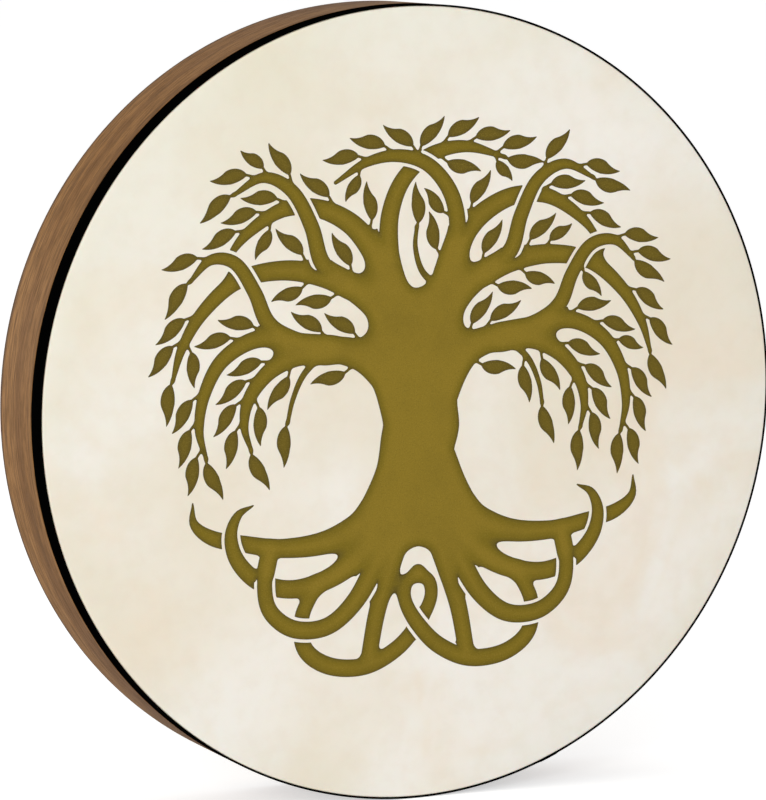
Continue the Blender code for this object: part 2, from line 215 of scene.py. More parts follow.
def round_the_hoop(paint, lean=0.0):
    """(along, across, through) in metres for a hoop: round it, along its axis and outwards.
    lean, in radians per metre, turns its grain into a slow spiral."""
    x, y, z = paint.place()
    angle = paint.maths("ARCTAN2", x, y)
    if lean:
        angle = paint.maths("ADD", angle, paint.times(z, lean))
        angle = paint.maths("WRAP", angle, math.pi, -math.pi)
    square = paint.maths("ADD", paint.times(x, x), paint.times(y, y))
    return paint.times(angle, OUTER_RADIUS), z, paint.maths("SQRT", square)


def grain(paint, where, dark, middle, light):
    """Colour, fibre height and pore mask of straight-grained wood."""
    bands = paint.noise(where, (3.5, 60.0, 60.0), 2.0, 0.5, 0.4)
    fibres = paint.noise(where, (70.0, 900.0, 900.0), 4.0, 0.68)
    streaks = paint.noise(where, (14.0, 330.0, 330.0), 4.0, 0.66, 0.3)
    colour = paint.tint(middle, light, bands, 0.34, 0.66)
    colour = paint.tint(colour, dark, streaks, 0.46, 0.72, 0.62)
    colour = paint.mix(paint.span(fibres, 0.36, 0.60, 0.62, 0.0), colour, dark)
    pores = paint.noise(where, (130.0, 1500.0, 1500.0), 1.0, 0.5)
    pores = paint.span(pores, 0.64, 0.74)
    return paint.mix(paint.times(pores, 0.45), colour, dark), fibres, pores


def hoop_wood():
    """Brown stained ply: fine grain round the hoop, its back edge darker, partly from stain soaked in there
    and partly painted shade where the rounded edge turns away from the light.
    """
    paint = Paint("hoop_wood")
    where = round_the_hoop(paint, 9.0)
    along, across, through = where
    dark, middle, light = (80, 52, 24), (130, 89, 44), (157, 112, 61)
    colour, fibres, pores = grain(paint, where, dark, middle, light)
    # Painted shade mixed with real stain: the last 5 mm towards the back edge darkened, standing in for the
    # shadow on the rounded edge as well as the stain soaked in there.
    colour = paint.tint(colour, (62, 41, 24), across, BACK + 5.0 * MM, BACK + 1.5 * MM, 0.8)
    ply = paint.ripple(through, 1.5 * MM)
    edge = paint.span(across, BACK + 1.4 * MM, BACK + 0.4 * MM, 0.0, 0.55)
    edge = paint.times(edge, paint.span(ply, 0.2, 0.7))
    colour = paint.mix(edge, colour, (112, 79, 47))
    seam, away = math.pi * OUTER_RADIUS, paint.maths("ABSOLUTE", along)
    colour = paint.tint(colour, (46, 30, 18), away, seam - 0.5 * MM, seam, 0.8)
    roughness = paint.span(fibres, 0.3, 0.7, 0.62, 0.48)
    normal = paint.bump(fibres, 0.10 * MM, 0.5)
    normal = paint.bump(pores, -0.12 * MM, 0.6, normal)
    return paint.finish(colour, roughness, normal, Specular_IOR_Level=0.13)


def bar_wood(name, upright):
    """The same stained wood as the hoop, its grain along the bar."""
    paint = Paint(name)
    x, y, z = paint.place()
    where = (y, x, z) if upright else (x, y, z)
    dark, middle, light = (92, 63, 36), (134, 95, 56), (158, 116, 72)
    colour, fibres, pores = grain(paint, where, dark, middle, light)
    roughness = paint.span(fibres, 0.3, 0.7, 0.54, 0.42)
    normal = paint.bump(fibres, 0.10 * MM, 0.5)
    normal = paint.bump(pores, -0.12 * MM, 0.6, normal)
    return paint.finish(colour, roughness, normal, Coat_Weight=0.08, Coat_Roughness=0.4)


def ring_beech():
    """Pale beech ply of the tuning ring, with short flecks and its veneers showing at the edges."""
    paint = Paint("ring_beech")
    where = round_the_hoop(paint)
    _, across, through = where
    dark, middle, light = (176, 138, 98), (206, 172, 130), (224, 194, 154)
    colour, fibres, _ = grain(paint, where, dark, middle, light)
    flecks = paint.noise(where, (260.0, 1100.0, 1100.0), 1.0)
    colour = paint.tint(colour, (158, 116, 76), flecks, 0.62, 0.72, 0.5)
    ply = paint.ripple(through, 1.6 * MM)
    edge = paint.span(across, RING_LOW.z + 1.6 * MM, RING_LOW.z + 0.4 * MM, 0.0, 0.6)
    edge = paint.times(edge, paint.span(ply, 0.1, 0.7))
    colour = paint.mix(edge, colour, (160, 118, 78))
    roughness = paint.span(fibres, 0.3, 0.7, 0.52, 0.40)
    normal = paint.bump(fibres, 0.08 * MM, 0.45)
    return paint.finish(colour, roughness, normal, Coat_Weight=0.1, Coat_Roughness=0.35)


def parchment():
    """Natural goatskin: cloudy cream, with warmer patches, faint veins, a fine pebbled surface, and painted
    shade that darkens it towards its upper left.
    """
    paint = Paint("parchment")
    x, y, z = paint.place()
    where = (x, y, z)
    clouds = paint.noise(where, 5.2, 2.5, 0.5, 0.5)
    patches = paint.noise(where, 11.0, 3.0, 0.55, 0.8)
    colour = paint.tint((236, 227, 208), (245, 240, 231), clouds, 0.36, 0.62)
    colour = paint.tint(colour, (239, 224, 202), patches, 0.50, 0.72, 0.55)
    # Painted shade: a straight gradient that darkens the skin towards its upper left, as if less light fell
    # there.
    across = paint.maths("ADD", paint.times(x, -0.55), paint.times(y, 0.8))
    colour = paint.tint(colour, (232, 227, 204), across, 0.02, 0.26, 0.55)
    mottle = paint.noise(where, 70.0, 3.0, 0.6)
    colour = paint.tint(colour, (222, 206, 180), mottle, 0.35, 0.75, 0.16)
    veins = paint.noise(where, 17.0, 4.0, 0.6, 0.5)
    flesh = paint.tint((238, 224, 198), (220, 198, 164), veins, 0.38, 0.70, 0.5)
    colour = paint.tint(colour, flesh, z, FRONT - 0.25 * MM, FRONT - 0.6 * MM)
    pebbles = paint.noise(where, 900.0, 3.0, 0.6)
    waves = paint.noise(where, 24.0, 1.0)
    roughness = paint.span(pebbles, 0.3, 0.7, 0.52, 0.66)
    normal = paint.bump(waves, 0.5 * MM, 0.25)
    normal = paint.bump(pebbles, 0.05 * MM, 0.35, normal)
    return paint.finish(
        colour, roughness, normal, Subsurface_Weight=0.10, Subsurface_Scale=2.0 * MM, Specular_IOR_Level=0.35
    )


def printed_ink():
    """Olive gold ink: a thin dark outline, darker leaves, and a fine speckle where the skin shows through."""
    paint = Paint("printed_ink")
    tone = paint.node("ShaderNodeAttribute", {}, "Fac", attribute_name="ink_tone")
    leafy = paint.node("ShaderNodeAttribute", {}, "Fac", attribute_name="ink_leaf")
    where = paint.place()
    colour = paint.tint((72, 59, 14), (101, 86, 16), tone, 0.03, 0.20)
    colour = paint.tint(colour, (121, 102, 15), tone, 0.18, 0.60)
    colour = paint.tint(colour, (137, 114, 28), tone, 0.60, 0.98)
    colour = paint.mix(paint.times(leafy, 0.45), colour, (80, 66, 22))
    clouds = paint.noise(where, 34.0, 3.0, 0.6)
    colour = paint.tint(colour, (104, 87, 16), clouds, 0.40, 0.72, 0.22)
    speckle = paint.noise(where, 1500.0, 2.0, 0.7)
    colour = paint.tint(colour, (160, 140, 64), speckle, 0.52, 0.70, 0.30)
    colour = paint.tint(colour, (78, 64, 12), speckle, 0.46, 0.32, 0.30)
    roughness = paint.span(speckle, 0.3, 0.7, 0.55, 0.70)
    normal = paint.bump(speckle, 0.03 * MM, 0.4)
    return paint.finish(colour, roughness, normal, Specular_IOR_Level=0.2)


def black_binding():
    """Matte black cloth binding with a fine weave."""
    paint = Paint("black_cloth")
    where = round_the_hoop(paint)
    along, across, _ = where
    thread = 0.55 * MM
    weave = paint.times(paint.ripple(along, thread), paint.ripple(across, thread))
    fluff = paint.noise(where, 500.0, 2.0)
    shade = paint.maths("ADD", paint.times(weave, 0.5), fluff)
    colour = paint.tint((1, 1, 1), (4, 4, 4), shade, 0.0, 1.0)
    roughness = paint.span(fluff, 0.3, 0.7, 0.72, 0.88)
    normal = paint.bump(weave, 0.05 * MM, 0.6)
    return paint.finish(colour, roughness, normal, Specular_IOR_Level=0.0)


def cast_alloy():
    """Tumbled alloy of the brackets: drawn lines along the extrusion under a fine matte grain."""
    paint = Paint("tumbled_alloy", 1.0)
    where = paint.place()
    lines = paint.noise(where, (1600.0, 1600.0, 40.0), 3.0, 0.6)
    speckle = paint.noise(where, 2600.0, 2.0)
    cloud = paint.noise(where, 120.0, 3.0)
    colour = paint.tint((176, 176, 173), (204, 204, 202), cloud, 0.35, 0.65)
    colour = paint.tint(colour, (150, 150, 148), lines, 0.5, 0.75, 0.35)
    roughness = paint.span(cloud, 0.3, 0.7, 0.34, 0.50)
    normal = paint.bump(lines, 0.03 * MM, 0.4)
    normal = paint.bump(speckle, 0.02 * MM, 0.35, normal)
    return paint.finish(colour, roughness, normal)


def plated_steel(name, low, high, roughness):
    """Zinc plated steel, with a faint bloom and fine scratches."""
    paint = Paint(name, 1.0)
    where = paint.place()
    bloom = paint.noise(where, 200.0, 3.0, 0.6)
    scratches = paint.noise(where, (3200.0, 300.0, 3200.0), 3.0, 0.7)
    colour = paint.tint(low, high, bloom, 0.3, 0.7)
    rough = paint.span(bloom, 0.3, 0.7, roughness + 0.08, roughness - 0.05)
    normal = paint.bump(scratches, 0.008 * MM, 0.4)
    return paint.finish(colour, rough, normal)


# ---- meshes ----


def ray(turn):
    """A step of length 1 in a direction."""
    return np.array([math.cos(turn), math.sin(turn)])


def arc(radius, start, end, count, centre=(0.0, 0.0)):
    """Points along an arc, both ends included, with angles in radians."""
    turns = np.linspace(start, end, count)
    return [(centre[0] + radius * math.cos(t), centre[1] + radius * math.sin(t)) for t in turns]


def divided(radius, start, end, parts):
    """The points that divide a straight side of a profile into parts, its two ends left out."""
    return [(radius, start + (end - start) * k / parts) for k in range(1, parts)]


def rounded(corners, radius, steps=6):
    """A closed outline with every corner rounded. radius is one number or one for each corner."""
    points = []
    count = len(corners)
    radii = radius if isinstance(radius, list) else [radius] * count
    for k, (corner, r) in enumerate(zip(corners, radii)):
        here = Vector(corner)
        back = (Vector(corners[k - 1]) - here).normalized()
        on = (Vector(corners[(k + 1) % count]) - here).normalized()
        half = back.angle(on) / 2
        centre = here + (back + on).normalized() * (r / math.sin(half))
        first = here + back * (r / math.tan(half)) - centre
        last = here + on * (r / math.tan(half)) - centre
        sweep = first.angle_signed(last)
        for t in np.linspace(0, -sweep, steps + 1):
            points.append(tuple(centre + Matrix.Rotation(t, 2) @ first))
    return points


def turned_mesh(name, profile, steps, closed=True, radius_at=None):
    """A profile of (radius, z) turned round the z axis. It runs down its outer side, top to bottom.
    radius_at(radius, z, angle) may change the radius as it goes round."""
    shape = bmesh.new()
    turns = [math.tau * k / steps for k in range(steps)]
    rings = []
    for radius, z in profile:
        ring = []
        for turn in turns if radius else turns[:1]:
            r = radius_at(radius, z, turn) if radius_at else radius
            ring.append(shape.verts.new((r * math.cos(turn), r * math.sin(turn), z)))
        rings.append(ring)
    following = rings[1:] + rings[:1] if closed else rings[1:]
    for upper, lower in zip(rings, following):
        for k in range(steps):
            corners = [upper[k % len(upper)], lower[k % len(lower)]]
            corners += [lower[(k + 1) % len(lower)], upper[(k + 1) % len(upper)]]
            corners = list(dict.fromkeys(corners))
            if len(corners) > 2:
                shape.faces.new(corners)
    return saved(shape, name)


def inset(outline, distance):
    """An anticlockwise outline moved into its own inside."""
    here = np.array(outline)
    edge = np.roll(here, -1, axis=0) - here
    inwards = np.stack([-edge[:, 1], edge[:, 0]], axis=1) / np.hypot(*edge.T)[:, None]
    before = np.roll(inwards, 1, axis=0)
    return here + distance * (inwards + before) / (1 + (inwards * before).sum(axis=1))[:, None]


def extruded_mesh(name, outline, low, high, bevel=0.0, steps=3):
    """A flat outline of (x, y) points, anticlockwise, between two levels of z, its two rims rounded."""
    shape = bmesh.new()
    turns = np.linspace(0, math.pi / 2, steps + 1) if bevel else [0.0]
    levels = [(bevel * (1 - math.sin(t)), bevel * (1 - math.cos(t))) for t in turns]
    under = [(into, low + rise) for into, rise in levels]
    over = [(into, high - rise) for into, rise in levels[::-1]]
    rings = [[shape.verts.new((x, y, z)) for x, y in inset(outline, into)] for into, z in under + over]
    shape.faces.new(rings[0][::-1])
    shape.faces.new(rings[-1])
    count = len(outline)
    for lower, upper in zip(rings, rings[1:]):
        for k in range(count):
            after = (k + 1) % count
            shape.faces.new((lower[k], lower[after], upper[after], upper[k]))
    return saved(shape, name)


def saved(shape, name):
    """The bmesh as a mesh."""
    mesh = bpy.data.meshes.new(name)
    shape.to_mesh(mesh)
    shape.free()
    return mesh


def rod_mesh(name, sides, radius, low, high, top_radius=None):
    """A cutter: a rod or cone along z."""
    shape = bmesh.new()
    top = radius if top_radius is None else top_radius
    bmesh.ops.create_cone(shape, cap_ends=True, segments=sides, radius1=radius, radius2=top, depth=high - low)
    bmesh.ops.translate(shape, verts=shape.verts, vec=(0, 0, (low + high) / 2))
    return saved(shape, name)


def block_mesh(name, low, high):
    """A cutter: a box between two corners."""
    shape = bmesh.new()
    bmesh.ops.create_cube(shape, size=1.0)
    for corner in shape.verts:
        for k in range(3):
            corner.co[k] = low[k] + (corner.co[k] + 0.5) * (high[k] - low[k])
    return saved(shape, name)


def moved(mesh, matrix):
    """A copy of the mesh, moved."""
    made = mesh.copy()
    made.transform(matrix)
    return made


def joined(name, meshes):
    """Several meshes as one, their bodies still separate."""
    shape = bmesh.new()
    for mesh in meshes:
        shape.from_mesh(mesh)
    return saved(shape, name)


def linked(name, data):
    """A new object in the scene."""
    made = bpy.data.objects.new(name, data)
    bpy.context.scene.collection.objects.link(made)
    return made


def carved(mesh, *tools, operation="DIFFERENCE"):
    """The mesh with each tool cut from it, joined to it or kept in common with it."""
    body = linked("carved", mesh)
    helpers = [body]
    for tool in tools:
        helper = linked("tool", tool)
        helpers.append(helper)
        boolean = body.modifiers.new("cut", "BOOLEAN")
        boolean.operation = operation
        boolean.solver = "EXACT"
        boolean.object = helper
    bpy.context.view_layer.update()
    graph = bpy.context.evaluated_depsgraph_get()
    made = bpy.data.meshes.new_from_object(body.evaluated_get(graph), depsgraph=graph)
    for helper in helpers:
        bpy.data.objects.remove(helper, do_unlink=True)
    shape = bmesh.new()
    shape.from_mesh(made)
    bmesh.ops.remove_doubles(shape, verts=shape.verts, dist=WELD)
    bmesh.ops.dissolve_degenerate(shape, edges=shape.edges, dist=WELD)
    return saved(shape, mesh.name)


def piece(name, mesh, material, body, slot, *nodes, sharp=35.0):
    """A finished piece: put in the row frame, painted, riding on its body and standing for CAD nodes."""
    mesh.transform(DRUM)
    mesh.name = name
    mesh.materials.clear()
    mesh.materials.append(material)
    mesh.polygons.foreach_set("material_index", [0] * len(mesh.polygons))
    mesh.shade_smooth()
    mesh.set_sharp_from_angle(angle=math.radians(sharp))
    made = linked(name, mesh)
    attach(made, body)
    if nodes:
        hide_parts(*nodes)
    return made


def tuning_turns():
    """Each tuning point's number and its turn round the drum's axis."""
    step = math.tau / TUNING_POINTS
    return [(k + 1, step * (k + 0.5)) for k in range(TUNING_POINTS)]


def outwards(turn, radius=0.0, level=0.0):
    """Takes a piece's own x axis to point away from the drum's axis."""
    return Matrix.Rotation(turn, 4, "Z") @ Matrix.Translation((radius, 0, level))


# ---- skin and hoops ----


def make_skin(material):
    """Head turned down over the rim: a flat face, a rolled shoulder and a short skirt."""
    radius, low = SKIN_HIGH.x, SKIN_LOW.z
    inner, under = radius - SKIN_THICKNESS, FRONT - SKIN_THICKNESS
    shoulder, hem, tuck = 1.1 * MM, 0.2 * MM, 0.4 * MM
    rings = [radius * k / SKIN_RINGS for k in range(SKIN_RINGS)]
    profile = [(r, FRONT) for r in rings]
    profile += arc(shoulder, math.pi / 2, 0, 7, (radius - shoulder, FRONT - shoulder))
    profile += [(radius, low + hem), (radius - hem, low), (inner, low)]
    profile += arc(tuck, 0, math.pi / 2, 4, (inner - tuck, under - tuck))
    profile += [(r, under) for r in rings[::-1]]
    mesh = turned_mesh("skin_head", profile, HOOP_STEPS, closed=False)
    return piece("skin_head", mesh, material, "frame", "goatskin", "drum_skin")


def make_binding(material):
    """Black binding, its end lapped over its start near the foot of the drum."""
    outer, front, low = BAND_HIGH.x, BAND_HIGH.z, BAND_LOW.z
    inner = outer - 0.8 * MM
    lip, hem, lap_height = 0.35 * MM, 0.2 * MM, 0.3 * MM
    profile = arc(lip, math.pi / 2, 0, 5, (outer - lip, front - lip))
    profile += divided(outer, front, low, 6)
    profile += arc(hem, 0, -math.pi / 2, 3, (outer - hem, low + hem))
    profile += [(inner, low), (inner, front)]
    lap_at, lap, ramp = math.radians(-70), math.radians(3.2), math.radians(0.16)

    def lapped(radius, _, turn):
        past = (turn - lap_at) % math.tau
        if radius < outer - 0.5 * MM or past > lap + ramp:
            return radius
        return radius + lap_height * max(0.0, min(1.0, past / ramp, (lap + ramp - past) / ramp))

    mesh = turned_mesh("binding", profile, BINDING_STEPS, radius_at=lapped)
    return piece("binding", mesh, material, "frame", "black_binding", "edge_band")


def tenon_mesh(name, upright, clearance=0.0):
    """A bar as wide and thick as the tenons, from the end of one to the end of the other."""
    middle = (BAR_LOW.z + BAR_HIGH.z) / 2
    wide, long, deep = (size + clearance for size in (TENON_WIDTH / 2, BAR_HIGH.y, TENON_DEPTH / 2))
    mesh = block_mesh(name, (-wide, -long, middle - deep), (wide, long, middle + deep))
    if not upright:
        mesh.transform(quarter("Z"))
    return mesh


def make_shell(material):
    """Bent ply hoop with its front bearing edge, the rebate under the binding and rounded back edges."""
    top = SHELL_HIGH.z
    ledge = BAND_LOW.z - GAP
    rebate = SKIN_HIGH.x - SKIN_THICKNESS - GAP
    crest, ease, back_round = 1.5 * MM, 0.3 * MM, 1.5 * MM
    fall, run = 5.0 * MM, 4.4 * MM
    low = BACK + back_round
    profile = arc(crest, math.pi / 2, 0, 5, (rebate - crest, top - crest))
    profile += [(rebate, ledge), (OUTER_RADIUS - ease, ledge), (OUTER_RADIUS, ledge - ease)]
    profile += divided(OUTER_RADIUS, ledge - ease, low, 8)
    profile += arc(back_round, 0, -math.pi / 2, 7, (OUTER_RADIUS - back_round, low))
    profile += arc(back_round, -math.pi / 2, -math.pi, 7, (INNER_RADIUS + back_round, low))
    profile += divided(INNER_RADIUS, low, top - fall, 10)
    turns = np.linspace(math.pi, math.pi / 2, 8)[:-1]
    profile += [(INNER_RADIUS + run + run * math.cos(t), top - fall + fall * math.sin(t)) for t in turns]
    shell = turned_mesh("shell_hoop", profile, HOOP_STEPS)
    mortises = [tenon_mesh("mortise", upright, GAP) for upright in (True, False)]
    shell = carved(shell, *mortises, joined("pilots", [pilot(turn) for turn in fixing_turns()]))
    return piece("shell_hoop", shell, material, "frame", "stained_wood", "shell")


def make_tuning_ring(material):
    """Inner hoop with a rounded crest against the skin and eased back corners."""
    outer, top, low = RING_HIGH.x, RING_HIGH.z, RING_LOW.z
    inner = outer - RING_THICKNESS
    shoulder, slope, ease = 2.5 * MM, 4.0 * MM, 0.8 * MM
    profile = arc(shoulder, math.pi / 2, 0, 7, (outer - shoulder, top - shoulder))
    profile += divided(outer, top - shoulder, low + ease, 5)
    profile += arc(ease, 0, -math.pi / 2, 4, (outer - ease, low + ease))
    profile += arc(ease, -math.pi / 2, -math.pi, 4, (inner + ease, low + ease))
    profile += divided(inner, low + ease, top - slope, 5)
    profile += arc(slope, math.pi, math.pi / 2, 8, (inner + slope, top - slope))[:-1]
    mesh = turned_mesh("tuning_hoop", profile, HOOP_STEPS)
    return piece("tuning_hoop", mesh, material, "tuning_ring", "ring_wood", "tuning_ring")


# ---- the skin's print ----
# A tree of life inside a circle, drawn in units of the print's radius. A line is rows of (x, y, half width);
# where two cross, the upper one has a bare gap on both sides.

PRINT_CELL = 0.0026  # side of a square of the grid that the print is worked out on
PRINT_REACH = 1.08  # of the grid from the print's centre
FAR = 0.11  # distances are only worked out this close to a line
POINT_SPACING = 0.011  # along a line
CROSSING_GAP = 0.0105
CROSSING_RUN = 0.07  # of the upper line past the gap at both ends
LEAF_REACH = 1.035  # of the leaves from the print's centre
BARE_OVAL = (0.27, -0.20), (0.155, 0.25)  # middle and half sizes of the right one; the left mirrors it
LEAF_FILLET = 0.008
LEAF_STEPS = 30
LEAF_HALF_WIDTH = 0.0245
STALK_HALF_WIDTH = 0.0046
TIP_HALF_WIDTH = 0.0010
LEAF_LENGTHS = (0.165, 0.15, 0.138, 0.125, 0.112, 0.10)
LEAF_LEANS = (0.8, 0.55, 1.1, 0.3)  # turns from the wood's own direction, in radians
LEAF_STEP = 0.018  # between the places tried along the wood
END_LEAVES = ((0.155, 1.0), (0.155, -1.0), (0.135, 0.6), (0.135, -0.6), (0.11, 0.3))  # length and bend
TWIG_FILLET = 0.012
PRINT_RADIUS = 0.745 * OUTER_RADIUS
PRINT_RISE = 10.5 * MM  # of the print's centre above the drum's
INK_HEIGHT = 0.11 * MM
INK_SUNK = 0.02 * MM  # of the ink's underside below the skin's face
INK_EDGE = 0.45 * MM  # width of the ink's thin dark outline
INK_DEPTH = 2.9 * MM  # how far in from its outline the ink takes to reach its full tone
INK_LIP = 0.25  # share of the ink's height at its outline
INK_SPACING = 0.0155  # of the points inside the ink
INK_INSIDE = 2.2  # how many outline widths inside the ink they begin
OUTLINE_TOLERANCE = 0.00012
RIM_TOLERANCE = 0.0003  # of the line where the dark outline ends
SMALLEST_ISLAND = 3.0e-5  # area in square print radii
# For each pattern of a grid square's inside corners: the sides that an outline comes in and goes out by
SQUARES = {
    1: [(0, 3)], 2: [(1, 0)], 3: [(1, 3)], 4: [(2, 1)], 5: [(0, 3), (2, 1)], 6: [(2, 0)], 7: [(2, 3)],
    8: [(3, 2)], 9: [(0, 2)], 10: [(1, 0), (3, 2)], 11: [(1, 2)], 12: [(3, 1)], 13: [(0, 1)], 14: [(3, 0)],
}


class PrintField:
    """Signed distance to the printed shapes on a square grid, negative inside."""

    def __init__(self):
        self.axis = np.arange(-PRINT_REACH, PRINT_REACH + PRINT_CELL, PRINT_CELL)
        self.value = np.full((len(self.axis), len(self.axis)), FAR)
        self.leafy = np.zeros_like(self.value)

    def distance(self, line):
        """Distance to a tapering line, and the window of the grid that it was worked out in."""
        pad = line[:, 2].max() + FAR
        rows, cols = (self.span(line[:, k].min() - pad, line[:, k].max() + pad) for k in (1, 0))
        x, y = self.axis[cols][None, :], self.axis[rows][:, None]
        nearest = FAR
        for a, b in zip(line[:-1], line[1:]):
            step = b[:2] - a[:2]
            share = ((x - a[0]) * step[0] + (y - a[1]) * step[1]) / max(float(step @ step), 1e-12)
            share = np.clip(share, 0, 1)
            gap = np.hypot(x - a[0] - share * step[0], y - a[1] - share * step[1])
            nearest = np.minimum(nearest, gap - (a[2] + share * (b[2] - a[2])))
        return nearest, (rows, cols)

    def span(self, low, high):
        """The grid's rows or columns from one coordinate to another."""
        first = int((low + PRINT_REACH) / PRINT_CELL)
        last = int((high + PRINT_REACH) / PRINT_CELL) + 2
        return slice(max(first, 0), min(max(last, 1), len(self.axis)))

    def add(self, line, fillet=0.0):
        """Joins a line to the print, with a fillet in its corners where fillet is more than 0."""
        nearest, area = self.distance(line)
        old = self.value[area]
        corner = np.hypot(np.maximum(fillet - old, 0), np.maximum(fillet - nearest, 0))
        self.value[area] = np.maximum(fillet, np.minimum(old, nearest)) - corner

    def add_leaf(self, line):
        """Joins a leaf to the print, and marks what lies past its stalk as leaf."""
        self.add(line, LEAF_FILLET)
        nearest, area = self.distance(line[len(line) // 4 :])
        self.leafy[area] = np.maximum(self.leafy[area], nearest < PRINT_CELL)

    def cross(self, line, start, end):
        """Passes a stretch of a line over what is there, with a bare gap on both sides."""
        over, area = self.distance(stretch(line, start, end))
        self.value[area] = np.maximum(self.value[area], CROSSING_GAP - over)
        again, area = self.distance(stretch(line, start - CROSSING_RUN, end + CROSSING_RUN))
        self.value[area] = np.minimum(self.value[area], again)

    def at(self, points):
        """The field at the grid points nearest to some points."""
        place = np.rint((np.asarray(points)[:, :2] + PRINT_REACH) / PRINT_CELL).astype(int)
        col, row = np.clip(place, 0, len(self.axis) - 1).T
        return self.value[row, col]

    def between(self, values, points):
        """A grid's values read between its points."""
        place = np.clip((points + PRINT_REACH) / PRINT_CELL, 0, len(self.axis) - 1.001)
        low = place.astype(int)
        (x, y), (col, row) = (place - low).T, low.T
        near = values[row, col] * (1 - x) + values[row, col + 1] * x
        return near * (1 - y) + (values[row + 1, col] * (1 - x) + values[row + 1, col + 1] * x) * y


def lengths(line):
    """Length along the line at each of its points."""
    return np.concatenate([[0], np.cumsum(np.hypot(*np.diff(line[:, :2], axis=0).T))])


def smooth(points):
    """An evenly spaced smooth line through points in thousandths."""
    p = np.asarray(points) / 1000
    p = np.vstack([2 * p[0] - p[1], p, 2 * p[-1] - p[-2]])
    t = np.linspace(0, 1, 24, endpoint=False)[:, None]
    rows = [
        b + ((c - a) * t + (2 * a - 5 * b + 4 * c - d) * t**2 + (3 * b - 3 * c + d - a) * t**3) / 2
        for a, b, c, d in zip(p, p[1:], p[2:], p[3:])
    ]
    line = np.vstack([*rows, p[-2][None]])
    total = lengths(line)[-1]
    return resampled(line, np.linspace(0, total, max(int(total / POINT_SPACING), 3) + 1))


def resampled(line, along):
    """The line's points at some lengths along it."""
    total = lengths(line)
    return np.stack([np.interp(along, total, line[:, k]) for k in range(3)], axis=1)


def stretch(line, start, end):
    """The part of a line between two lengths along it."""
    start, end = max(start, 0.0), min(end, lengths(line)[-1])
    return resampled(line, np.linspace(start, end, max(int((end - start) / POINT_SPACING), 2) + 1))


def heading_at(line, along):
    """Point, direction in radians and half width at a length along a line."""
    behind, here, ahead = resampled(line, [along - 0.01, along, along + 0.01])
    return here[:2], math.atan2(ahead[1] - behind[1], ahead[0] - behind[0]), here[2]


def leaf(base, heading, length, bend, stem):
    """A stalked leaf that curves away from its stalk and turns back at its long tip."""
    width = LEAF_HALF_WIDTH * (length * (1 - stem) / 0.13) ** 0.5
    place = np.array(base, float)
    rows = []
    for along in np.arange(LEAF_STEPS + 1) / LEAF_STEPS:
        blade = max((along - stem) / (1 - stem), 0.0)
        half = STALK_HALF_WIDTH + (width - STALK_HALF_WIDTH) * math.sin(math.pi * blade**0.74) ** 1.35
        half = min(half, TIP_HALF_WIDTH + (1 - blade) * width * 1.7)
        rows.append((*place, half))
        place = place + length / LEAF_STEPS * ray(heading + bend * (along - 2.1 * max(along - 0.60, 0.0)))
    return np.array(rows)


# The wood's lines run smoothly through these (x, y, half width) points, in thousandths of the print's radius.
TRUNK = [(0, 240, 80), (-12, 130, 132), (10, 30, 138), (0, -60, 132), (12, -130, 141), (-8, -200, 132),
         (0, -280, 142), (0, -380, 160)]

# Boughs: side, fillet where it leaves the wood, where it starts to pass over what it meets, and its points.
# The low, middle and high boughs of each side come first, then the crown's, then the forks.
BOUGHS = [
    (1, 0.10, None, (0, -10, 80), (130, 95, 70), (280, 155, 55), (420, 155, 44), (540, 100, 35),
     (620, 10, 28), (645, -85, 18), (630, -170, 8)),
    (1, 0.05, None, (330, 157, 36), (460, 195, 37), (600, 205, 35), (720, 140, 31), (790, 30, 26),
     (810, -90, 19), (790, -190, 8)),
    (1, 0.08, None, (30, 130, 80), (110, 265, 66), (220, 365, 53), (355, 420, 45), (510, 440, 39),
     (665, 410, 34), (790, 310, 28), (868, 195, 20), (905, 85, 8)),
    (1, 0.07, None, (60, 240, 70), (110, 380, 58), (155, 490, 50), (240, 585, 43), (365, 645, 37),
     (500, 640, 31), (625, 565, 23), (715, 465, 8)),
    (-1, 0.10, None, (0, -20, 80), (140, 85, 70), (290, 140, 55), (430, 135, 44), (550, 85, 35),
     (630, -5, 28), (650, -100, 18), (625, -185, 8)),
    (-1, 0.05, None, (350, 142, 36), (480, 180, 37), (610, 190, 35), (730, 125, 31), (795, 15, 26),
     (815, -105, 19), (790, -205, 8)),
    (-1, 0.08, None, (30, 110, 80), (120, 250, 66), (235, 345, 53), (370, 400, 45), (520, 420, 39),
     (675, 390, 34), (800, 290, 28), (875, 175, 20), (910, 65, 8)),
    (-1, 0.07, None, (60, 230, 70), (120, 370, 58), (170, 475, 50), (255, 570, 43), (375, 625, 37),
     (505, 625, 31), (635, 550, 23), (720, 455, 8)),
    (-1, 0.04, 0.22, (90, 340, 50), (110, 470, 43), (105, 600, 39), (55, 715, 35), (-45, 795, 31),
     (-180, 820, 24), (-330, 780, 8)),
    (1, 0.04, 0.19, (120, 390, 45), (150, 530, 38), (125, 660, 34), (40, 760, 30), (-75, 795, 26),
     (-195, 775, 19), (-310, 710, 8)),
    (1, 0.03, 0.13, (465, 197, 33), (550, 270, 33), (595, 370, 30), (665, 465, 27), (760, 480, 21),
     (835, 415, 8)),
    (1, 0.03, 0.13, (260, 385, 35), (355, 460, 35), (395, 580, 32), (460, 700, 28), (565, 750, 21),
     (675, 700, 8)),
    (-1, 0.03, 0.13, (485, 180, 33), (565, 250, 33), (610, 350, 30), (680, 450, 27), (770, 465, 21),
     (845, 395, 8)),
    (-1, 0.03, 0.13, (270, 365, 35), (360, 440, 35), (400, 565, 32), (470, 685, 28), (575, 735, 21),
     (685, 680, 8)),
]
TWIGS = [
    (1, (330, 150, 13), (410, 80, 11), (450, 0, 9), (465, -75, 7)),
    (-1, (340, 135, 13), (415, 65, 11), (455, -15, 9), (475, -95, 7)),
    (1, (75, 335, 14), (15, 390, 11), (-10, 470, 9), (-5, 540, 7)),
]
